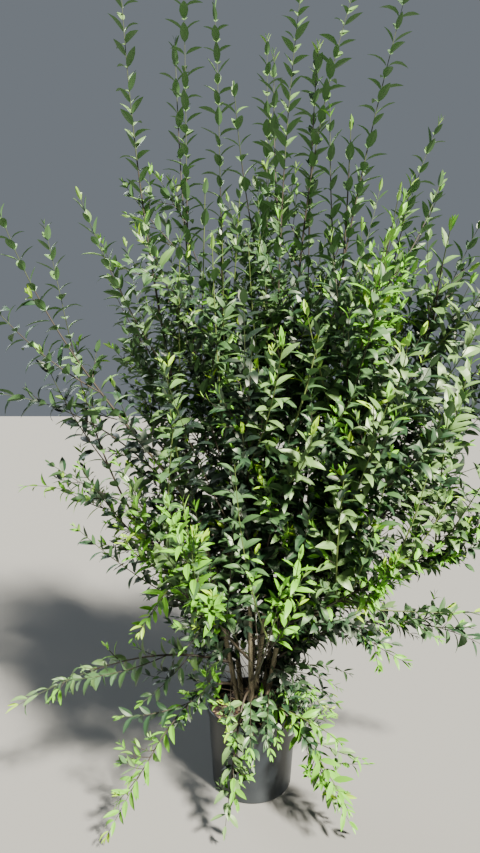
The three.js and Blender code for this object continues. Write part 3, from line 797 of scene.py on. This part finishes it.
for index, (name, whip) in enumerate(whips.items()):
    random = np.random.default_rng(WHIP_SEEDS + index)
    start = whip["bare"]
    leader = stretch(whip["line"], start, 1, LEADER_POINTS)
    length = length_of(leader)
    shares = start + (1 - start) * np.linspace(0, 1, LEADER_POINTS)
    radius = np.array([whip_radius(whip, share) for share in shares])
    add_shoot(name, "leader", leader, radius * np.linspace(1, SLIMMER, LEADER_POINTS), outer=1)
    first = FIRST_ABOVE_BARK if start > 0 else FIRST_ON_LEAFY_WHIP
    fullness = FULLNESS.get(name, 1)
    tall = whip["line"][-1][2] > UNBRANCHED_ABOVE
    branched_to = UNBRANCHED_RIGHT if name in BRANCHED_HIGHER else UNBRANCHED_ABOVE

    # Twigs, then finer ones, and spurs on both. The whip's upper part has none.
    twigs = round(length / TWIG_SPACING * fullness)
    fine = round(length / FINE_SPACING * fullness * (FINE_ON_TALL if tall else 1))
    for i in range(twigs + fine):
        share = golden("twig", i, first, LAST_TWIG)
        place = at(leader, share)[0]
        spread = random.uniform(*(TWIG_SPREAD if i < twigs else FINE_SPREAD))
        reach = max(length * TWIG_REACH * (1 - REACH_LOSS * share) * spread, SHORTEST)
        angle = i * GOLDEN_ANGLE + index + random.uniform(-TURN_CHANGE, TURN_CHANGE)
        lean = TWIG_LEAN + random.uniform(-LEAN_CHANGE, LEAN_CHANGE)
        if random.uniform(*BRANCHING_ENDS) < place[2] - branched_to or in_window(place):
            continue
        carrying = whip_radius(whip, start + (1 - start) * share)
        root_radius = min(carrying * TWIG_TO_WHIP, TWIG_RADIUS)
        rise = DROOP_RISE if name.endswith("droop") else TWIG_RISE
        line = grow(name, "twig", leader, share, angle, reach, lean, share, root_radius, rise)
        if line is None:
            continue
        for k in range(int(reach / SPUR_SPACING)):
            short = min(reach * LONGEST_SPUR, random.uniform(*SPUR_LENGTHS))
            angle = k * GOLDEN_ANGLE + random.uniform(0, tau)
            grow(name, "spur", line, golden("spur", k, *SPUR_SHARES), angle, short, TWIG_LEAN, share)

    # Rods, which stay close to the whip and rise with it.
    for i in range(round(length / ROD_SPACING * fullness)):
        share = golden("rod", i, first, LAST_ROD)
        reach = min((1 - share) * length * random.uniform(*ROD_SPREAD), LONGEST_ROD)
        angle = (i + 0.5) * GOLDEN_ANGLE + index
        if at(leader, share)[0][2] + reach <= HIGHEST_ROD:
            rise = ROD_RISE if tall else TWIG_RISE
            grow(name, "rod", leader, share, angle, reach, ROD_LEAN, share, rise=rise)

    # Short shoots on the bare wood, but none in the window or just above the compost.
    if start == 0:
        continue
    limb = stretch(whip["line"], 0, start, LIMB_POINTS)
    spacing = BACK_INNER_SPACING if name.startswith("back") else INNER_SPACING
    for i in range(int(length_of(limb) / spacing)):
        share = golden("inner", i)
        angle = i * GOLDEN_ANGLE + index
        reach = random.uniform(*INNER_LENGTHS)
        root = at(limb, share)[0]
        end = rising_line(root, UP, angle, reach, INNER_LEAN, TWIG_RISE, 2)[-1]
        if root[2] > INNER_LOWEST and not in_window(end):
            grow(name, "inner", limb, share, angle, reach, INNER_LEAN, outer=0)

# Long young shoots that stand out in front of the crown: each one's whip, the share of the
# whip at which it leaves, its tip in millimetres and its green.
# The "light" green of many of these shoots is painted light: a paler green that looks sunlit.
FRONT_SHOOTS = (
    ("front_high", 0.35, (292, -450, 1258), "light"),
    ("right_mid", 0.38, (492, -350, 1248), "light"),
    ("right_level", 0.6, (600, -360, 1160), "light"),
    ("front", 0.64, (59, -400, 1377), "light"),
    ("right_high", 0.62, (560, -300, 1530), "light"),
    ("right_front", 0.75, (461, -200, 1772), "light"),
    ("right_high", 0.72, (475, -250, 1658), "olive"),
    ("right_front", 0.71, (322, -350, 1711), "fresh"),
    ("right_front", 0.6, (290, -380, 1600), "fresh"),
    ("heart_right", 0.9, (340, -400, 1377), "light"),
    ("front_low", 0.72, (94, -500, 909), "fresh"),
    ("right_level", 0.21, (655, -100, 596), "mid"),
    ("right_mid", 0.5, (560, -200, 1330), "light"),
    ("right_high", 0.45, (500, -380, 1400), "light"),
    ("left", 0.31, (-212, -300, 1328), "olive"),
    ("front_left", 0.54, (-176, -350, 989), "fresh"),
    ("front_left", 0.4, (-150, -420, 900), "mid"),
    ("heart_left", 0.44, (-339, -250, 861), "fresh"),
    ("heart_left", 0.42, (-295, -300, 632), "fresh"),
    ("right_droop", 0.22, (229, -280, 310), "fresh"),
    ("right_droop", 0.45, (246, -330, 150), "fresh"),
    ("heart_front", 0.94, (150, -330, 1400), "mid"),
    ("inner_left", 0.5, (-218, 50, 2189), "mid"),
    ("middle", 0.66, (55, 20, 2146), "olive"),
    ("inner_right", 0.52, (-54, -50, 2034), "olive"),
    ("right_upright", 0.62, (178, 50, 2179), "mid"),
    ("right", 0.6, (208, 0, 1998), "olive"),
    ("right", 0.64, (253, -80, 1940), "mid"),
    ("right_front", 0.39, (120, -300, 1450), "light"),
    ("front_right", 0.5, (205, -400, 1079), "light"),
    ("front_right", 0.57, (310, -400, 1120), "mid"),
    ("front_right", 0.75, (410, -360, 1065), "light"),
    ("front_right", 0.79, (470, -340, 1000), "light"),
    ("heart_front", 0.67, (125, -440, 1178), "light"),
    ("heart_front", 0.79, (215, -440, 1262), "mid"),
    ("front_high", 0.61, (262, -420, 1235), "light"),
    ("front_low", 0.57, (-50, -440, 1099), "mid"),
    ("heart_left", 0.48, (-197, -320, 1185), "mid"),
    ("right_level", 0.59, (460, -340, 1235), "light"),
    ("inner_left", 0.28, (-132, -50, 1788), "mid"),
    ("back_left", 0.42, (-38, -30, 1780), "olive"),
    ("heart_mid", 0.7, (-108, -200, 1623), "olive"),
    ("middle", 0.42, (11, -50, 1749), "mid"),
    ("left", 0.42, (-195, -120, 1647), "olive"),
    ("back_left", 0.38, (-86, -100, 1701), "mid"),
    ("middle", 0.38, (-17, -150, 1643), "olive"),
)
FRONT_POINTS = 30
FRONT_RADII = (2.8 * MM, 1 * MM)
FRONT_BOW = (0.62, 0.62, 0.4)
FRONT_SWAY = 0.16
FRONT_SEEDS = 2000
FRONT_SPUR_SPACING = 0.14
FRONT_SPUR_SHARES = (0.1, 0.7)
FRONT_SPUR_OUTER = 0.6

for index, (name, share, tip, green) in enumerate(FRONT_SHOOTS):
    random = np.random.default_rng(FRONT_SEEDS + index)
    root, tip = at(whips[name]["line"], share)[0], np.array(tip) * MM
    aside = np.cross(tip - root, UP) * random.uniform(-FRONT_SWAY, FRONT_SWAY)
    middle = root + (tip - root) * FRONT_BOW + aside
    line = arched(root, middle, tip, FRONT_POINTS)
    radius = np.linspace(*FRONT_RADII, FRONT_POINTS)
    add_shoot(name, "rod", line, radius, outer=1, green=green)
    for k in range(int(length_of(line) / FRONT_SPUR_SPACING)):
        place = golden("spur", k, *FRONT_SPUR_SHARES)
        angle = k * GOLDEN_ANGLE + random.uniform(0, tau)
        if at(line, place)[0][2] < UNBRANCHED_ABOVE:
            short = random.uniform(*SPUR_LENGTHS)
            grow(name, "spur", line, place, angle, short, TWIG_LEAN, FRONT_SPUR_OUTER)

# Short shoots that break from the stems just above the compost and nod over the pot's rim:
# how many there are on each stem, and about which side, in degrees, they are spread.
SKIRT = {"front": 7, "right": 12, "middle": 7, "back_right": 6, "left": 3}
SKIRT_SEEDS = 3000
SKIRT_MIDDLE = -40
SKIRT_SPREAD = 55
SKIRT_FOOT = 0.12
SKIRT_FOOT_POINTS = 40
SKIRT_SHARES = (0.15, 0.6)
SKIRT_LENGTHS = (0.13, 0.26)
SKIRT_RISES = (0.1, 0.35)
SKIRT_NODS = (0.7, 1.6)
SKIRT_BENDS = (0.6, 0.5)
SKIRT_POINTS = 14
SKIRT_RADIUS = 1.4 * MM

for index, (name, count) in enumerate(SKIRT.items()):
    random = np.random.default_rng(SKIRT_SEEDS + index)
    foot = stretch(whips[name]["line"], 0, SKIRT_FOOT, SKIRT_FOOT_POINTS)
    for _ in range(count):
        root = at(foot, random.uniform(*SKIRT_SHARES))[0]
        side = radians(SKIRT_MIDDLE + random.uniform(-SKIRT_SPREAD, SKIRT_SPREAD))
        outwards = np.array([cos(side), sin(side), random.uniform(*SKIRT_RISES)])
        length = random.uniform(*SKIRT_LENGTHS)
        middle = root + unit(outwards) * length * SKIRT_BENDS[0]
        tip = middle + unit(outwards - UP * random.uniform(*SKIRT_NODS)) * length * SKIRT_BENDS[1]
        radius = np.linspace(SKIRT_RADIUS, END_RADIUS, SKIRT_POINTS)
        add_shoot("right_droop", "spur", arched(root, middle, tip, SKIRT_POINTS), radius, outer=0)

GREEN_END = 0.35
FRESH_BARK_BELOW = 1.4
BARK_FLECK = 22 * MM
# Each bark's darker and paler colour.
TWIG_COLOURS = {
    "brown": ("#241f15", "#3b3325"),
    "green": ("#232c14", "#3d4a24"),
    "fresh": ("#37451b", "#627535"),
}

# A shoot is brown up to its green end, and a low front shoot is fresh green all along.
stretches = {finish: [] for finish in TWIG_COLOURS}
for shoot in shoots:
    line, radius = shoot["line"], shoot["radius"]
    turn = int((1 - GREEN_END) * len(line))
    if shoot["green"] and line[0][2] < FRESH_BARK_BELOW:
        stretches["fresh"].append((line, radius))
    else:
        stretches["brown"].append((line[: turn + 1], radius[: turn + 1]))
        stretches["green"].append((line[turn:], radius[turn:]))

# Thin, smooth bark with a faint sheen: dark and flecked when ripe, greener when young.
for finish, (dark, pale) in TWIG_COLOURS.items():
    lines, radii = zip(*stretches[finish])
    mesh = tubes(lines, radii, resolution=0)
    mesh.shade_smooth()
    skin, tree, shader = new_material(f"{finish}_twig_bark", dark, roughness=0.6)
    place = add_node(tree, "TexCoord").outputs["Object"]
    flecks = add_node(tree, "TexNoise", [("Vector", place)], Scale=1 / BARK_FLECK, Detail=5, Roughness=0.6)
    mixed = add_node(tree, "Mix", [("Factor", flecks.outputs["Fac"])], data_type="RGBA")
    mixed.inputs["A"].default_value = linear(dark)
    mixed.inputs["B"].default_value = linear(pale)
    tree.links.new(mixed.outputs["Result"], shader.inputs["Base Color"])
    bump = add_node(tree, "Bump", [("Height", flecks.outputs["Fac"])], Strength=0.3, Distance=0.5 * MM)
    tree.links.new(bump.outputs["Normal"], shader.inputs["Normal"])
    piece = new_piece(f"{finish}_twigs", mesh, [skin])
    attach(piece, "root")


# The leaves: opposite pairs, each turned a quarter from the last, of narrow oval leaves,
# glossy above and dull below, folded a little along the rib and arched down to the tip. They
# are somewhat longer than life, because they are fewer, and are copied from a few shapes.
LEAF_LENGTH = (48 * MM, 74 * MM)
LEAF_WIDTHS = (0.29, 0.35, 0.41)
LEAF_TWISTS = (5, -12, 9)
LEAF_BENDS = (10, 35, 60, 85, 110)
LEAF_STATIONS = (0, 0.07, 0.2, 0.42, 0.67, 0.88, 1)
LEAF_OVAL = 0.92
LEAF_THICK = 0.01
LEAF_FOLD = 0.27
STALK_END = LEAF_STATIONS[1]
STALK_WIDTH = 0.012
RIB = (0.01, 0.97)


def half_width(share, broad):
    """Half a leaf's width at a share of its length: a thin stalk, then an oval blade."""
    if share == STALK_END:
        return STALK_WIDTH
    return 0.5 * broad * sin(pi * share**LEAF_OVAL) ** LEAF_OVAL if 0 < share < 1 else 0


def leaf_shape(bend, twist, broad):
    """One leaf of length 1 along +X with its face up: its arrays, as arrays_of gives them."""
    rows = len(LEAF_STATIONS) - 1
    bend = radians(bend)
    bm = bmesh.new()
    bmesh.ops.create_grid(bm, x_segments=rows, y_segments=2, size=0.5)
    for corner in bm.verts:
        share = LEAF_STATIONS[round((corner.co.x + 0.5) * rows)]
        side = round(corner.co.y * 2)
        width = half_width(share, broad)
        lift = LEAF_FOLD + radians(twist) * side * share
        along, drop = sin(bend * share) / bend, (cos(bend * share) - 1) / bend
        corner.co = (along, side * width * cos(lift), drop + abs(side) * width * sin(lift))
    bmesh.ops.remove_doubles(bm, verts=bm.verts, dist=1e-5)
    bmesh.ops.recalc_face_normals(bm, faces=bm.faces)
    if sum(face.normal.z for face in bm.faces) < 0:
        bmesh.ops.reverse_faces(bm, faces=bm.faces)
    under = bmesh.ops.duplicate(bm, geom=bm.verts[:] + bm.edges[:] + bm.faces[:])["geom"]
    under_faces = [g for g in under if isinstance(g, bmesh.types.BMFace)]
    bmesh.ops.reverse_faces(bm, faces=under_faces)
    for face in under_faces:
        face.material_index = 1
    for corner in [g for g in under if isinstance(g, bmesh.types.BMVert)]:
        if abs(corner.co.y) < 1e-6 and RIB[0] < corner.co.x and corner.co.length < RIB[1]:
            corner.co.z -= LEAF_THICK
    bmesh.ops.remove_doubles(bm, verts=bm.verts, dist=1e-5)
    return arrays_of(bm)


leaf_shapes = [
    leaf_shape(bend, twist, broad)
    for bend in LEAF_BENDS
    for twist, broad in zip(LEAF_TWISTS, LEAF_WIDTHS)
]

# The leaves' greens are dealt out by spray: each part of the crown has its own mix, given as
# greens and the running total of their shares.
LEAF_GREENS = {
    # deep: a dark green of older leaves, darker still as painted shade where the crown is shaded.
    "deep": "#122419",
    "mature": "#223f26",
    "mid": "#3b5c33",
    "olive": "#53773b",
    # light: a paler green, painted light that makes front, top and low-end leaves look sunlit.
    "light": "#5c7d44",
    "fresh": "#5e9a25",
    "tip": "#88b025",
}
YOUNG_GREENS = ("fresh", "tip")
# Undersides: paler than the tops, as in life, and lighter still as painted light through the leaf.
UNDERSIDES = {"dull": "#44673a", "pale": "#79a743"}
GREEN_MIXES = {
    # Inner shoots are mostly deep green: painted shade inside the crown.
    "inside": (("deep", 0.7), ("mature", 1)),
    "low_right": (("mature", 0.35), ("mid", 0.8), ("fresh", 1)),
    "low_roots": (("mature", 0.6), ("mid", 0.85), ("deep", 1)),
    "low_ends": (("fresh", 0.62), ("light", 1)),
    "high": (("olive", 0.62), ("light", 0.74), ("mid", 0.94), ("mature", 1)),
    # The right and middle take deep green often, partly as painted shade.
    "right": (("deep", 0.4), ("mature", 0.78), ("mid", 1)),
    "middle": (("deep", 0.34), ("mature", 0.74), ("mid", 0.94), ("olive", 1)),
}
FRESH_FROM = 0.42
UPPER_FRESH_FROM = 0.6
HIGH_GREENS_ABOVE = 1.58
BRIGHT_TIPS = 0.2
FRESH_TIPS = 0.6
BRIGHT_WHIPS = ("right_front", "left_droop", "right_droop", "front_droop")
REGIONS = {
    "tall_left": ("left", "back_left", "inner_left"),
    "tall_middle": ("middle", "inner_right", "heart_mid"),
    "tall_right": ("back_right", "right", "right_upright", "right_tall"),
    "left": ("left_high", "left_upright", "left_level"),
    "right": ("right_high", "right_mid", "right_front", "heart_right"),
    "rear": ("back", "rear_left", "rear_right", "rear_high", "heart_back"),
    "front": ("front", "front_high", "heart_front"),
    "low_left": ("left_mid", "left_low", "heart_left", "left_droop"),
    "low_right": ("right_level", "right_low"),
    "low_rear": ("rear_low_left", "rear_low_right", "rear_droop"),
    "low_front": ("front_left", "front_low", "front_right", "front_droop", "right_droop"),
}
region_of = {whip: region for region, members in REGIONS.items() for whip in members}
greens = list(LEAF_GREENS)


def spray_green(shoot, random):
    """The green of one shoot's leaves: fresh at low ends, deep inside as painted shade, olive high up."""
    whip, region = shoot["whip"], region_of[shoot["whip"]]
    if shoot["kind"] == "inner":
        mix = "inside"
    elif region == "low_right":
        mix = "low_right"
    elif whip in BRIGHT_WHIPS or region.startswith("low"):
        fresh_from = UPPER_FRESH_FROM if whip == "right_front" else FRESH_FROM
        mix = "low_roots" if shoot["outer"] < fresh_from else "low_ends"
    elif shoot["line"][-1][2] > HIGH_GREENS_ABOVE:
        mix = "high"
    else:
        mix = "right" if region == "right" else "middle"
    pick = random.uniform()
    return next(green for green, total in GREEN_MIXES[mix] if pick < total)


# How the leaves stand on the shoots. Leaders and rods are long shoots, whose leaves above a
# height are seen one by one: they are smaller, steeper, straighter and in truer pairs.
LONG_SHOOTS = ("leader", "rod")
LEADER_PAIRS = 29 * MM
FRONT_PAIRS = 42 * MM
LOW_FRONT_PAIRS = 33 * MM
LOW_FRONT_BELOW = 1.6
TWIG_PAIRS = 30 * MM
FIRST_ON_LEADER = 0.02
FIRST_PAIR = 0.12
OPEN_ABOVE = 1.5
LEAF_LEAN = 47
OPEN_LEAN = 38
YOUNG_LEAN = 26
LEAN_SPREAD = 7
LEAF_SAG = 0.08
LEAF_LIFT = 0.7
LEAF_BEND = 2.3
OPEN_BEND = 1.6
YOUNG_BEND = 1.5
BEND_SPREAD = 0.9
OPEN_TURN = 0.2
PAIR_TURN = 0.12
PAIR_START = 0.6
PAIR_END = 0.2
WANDER = {"open": 0.13, "long": 0.2, "short": 0.4}
MISSING = 0.04
FACE_ALONG = 0.55
FACE_BY_RISE = 0.45
LEAST_ALONG = 0.1
YOUNG_LENGTH = 0.07
YOUNG_SHRINK = 0.5
YOUNG_COLOUR = 0.7
USUAL_SIZES = {"front": 1.15, "leader": 1.1, "rod": 1.1, "twig": 1, "spur": 0.85, "inner": 0.85}
OPEN_LEAF = 0.85
LOW_LEAF = 0.9
TIP_LEAF = 20 * MM
TIP_SPREAD = 0.25
LEAF_SEEDS = 50_000

leaves = {region: [] for region in REGIONS}


def hang_leaf(region, root, along, axis, roll, length, shape, green):
    """Adds one leaf that faces up its shoot, and the sky where the shoot lies or hangs."""
    upright = min(max(FACE_ALONG + FACE_BY_RISE * along[2], LEAST_ALONG), 1)
    face = along * upright + UP * (1 - upright)
    face = unit(face - axis * (face @ axis))
    face = face * cos(roll) + np.cross(face, axis) * sin(roll)
    corners, triangles, numbers = leaf_shapes[shape]
    turn = np.stack([axis, np.cross(face, axis), face])
    below = len(greens) + (green in YOUNG_GREENS)
    tint = np.where(numbers == 0, greens.index(green), below)
    leaves[region].append((corners @ turn * length + root, triangles, tint))


for index, shoot in enumerate(shoots):
    random = np.random.default_rng(LEAF_SEEDS + index)
    line, kind, region = shoot["line"], shoot["kind"], region_of[shoot["whip"]]
    length, height = length_of(line), line[-1][2]
    long_shoot, in_front = kind in LONG_SHOOTS, bool(shoot["green"])
    in_open = long_shoot and height > OPEN_ABOVE
    start = FIRST_ON_LEADER if kind == "leader" else FIRST_PAIR
    spacing = LEADER_PAIRS if long_shoot else TWIG_PAIRS
    if in_front:
        spacing = LOW_FRONT_PAIRS if height < LOW_FRONT_BELOW else FRONT_PAIRS
    pairs = max(1, round(length * (1 - start) / spacing))
    turn = random.normal(0, OPEN_TURN) if in_open else random.uniform(0, pi)
    mixed_green = spray_green(shoot, random)
    green = shoot["green"] or mixed_green
    pick = random.uniform()
    young_green = "tip" if pick < BRIGHT_TIPS else "fresh" if pick < FRESH_TIPS else green
    wander = WANDER["open" if in_open else "long" if long_shoot else "short"]
    usual_size = LOW_LEAF if region.startswith("low") and region != "low_right" else 1
    usual_size *= USUAL_SIZES["front" if in_front else kind]

    for i in range(pairs):
        share = start + (1 - start) * (i + PAIR_START) / (pairs + PAIR_END)
        root, along = at(line, share)
        young = exp(-(1 - share) * length / YOUNG_LENGTH)
        free = long_shoot and root[2] > OPEN_ABOVE
        turn += pi / 2 + random.uniform(-PAIR_TURN, PAIR_TURN)
        for side in (turn, turn + pi):
            if random.uniform() < MISSING or in_window(root):
                continue
            steady = OPEN_LEAN if free else LEAF_LEAN
            lean = radians(steady - YOUNG_LEAN * young + random.normal(0, LEAN_SPREAD))
            away = outward(along, side + random.normal(0, wander / 2))
            axis = along * cos(lean) + away * sin(lean)
            axis = unit(axis - UP * LEAF_SAG * (1 - young) + UP * LEAF_LIFT * max(0, -along[2]))
            size = random.uniform(*LEAF_LENGTH) * usual_size * (1 - YOUNG_SHRINK * young)
            size *= OPEN_LEAF if free else 1
            bend = (OPEN_BEND if free else LEAF_BEND) - YOUNG_BEND * young
            bend = int(np.clip(random.normal(bend, BEND_SPREAD), 0, len(LEAF_BENDS) - 0.01))
            colour = young_green if kind != "inner" and young > YOUNG_COLOUR else green
            broad = 1 + int(random.integers(2))
            form = 0 if colour in YOUNG_GREENS else broad
            shape = len(LEAF_WIDTHS) * bend + form
            hang_leaf(region, root, along, axis, random.normal(0, wander), size, shape, colour)
    tip, along = at(line, 1)
    for side in (turn, turn + pi):
        axis = unit(along + outward(along, side) * TIP_SPREAD)
        hang_leaf(region, tip, along, axis, 0, TIP_LEAF, 0, young_green)

# A privet leaf has a waxy, glossy upper skin that shines pale in the light. Its lower side is
# duller, and young leaves are softer and less glossy.
LEAF_SHEEN = "#e9f1db"
LEAF_GLOSS = 0.9
YOUNG_GLOSS = 0.42
LEAF_CREASE = 21

leaf_finishes = []
for name, colour in LEAF_GREENS.items():
    gloss = YOUNG_GLOSS if name in YOUNG_GREENS else LEAF_GLOSS
    skin, _, shader = new_material(f"waxy_{name}_leaf", colour, roughness=0.47, Specular_IOR_Level=gloss)
    shader.inputs["Specular Tint"].default_value = linear(LEAF_SHEEN)
    leaf_finishes.append(skin)
# The underside greens hold painted light shining through the leaf as well as their own paler colour.
for name, colour in UNDERSIDES.items():
    leaf_finishes.append(new_material(f"{name}_leaf_underside", colour, roughness=0.65)[0])
for region, members in REGIONS.items():
    mesh = joined_mesh(leaves[region])
    mesh.shade_smooth()
    mesh.set_sharp_from_angle(angle=radians(LEAF_CREASE))
    piece = new_piece(f"leaves_{region}", mesh, leaf_finishes)
    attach(piece, "root")
    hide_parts(*[f"foliage_{member}" for member in members])
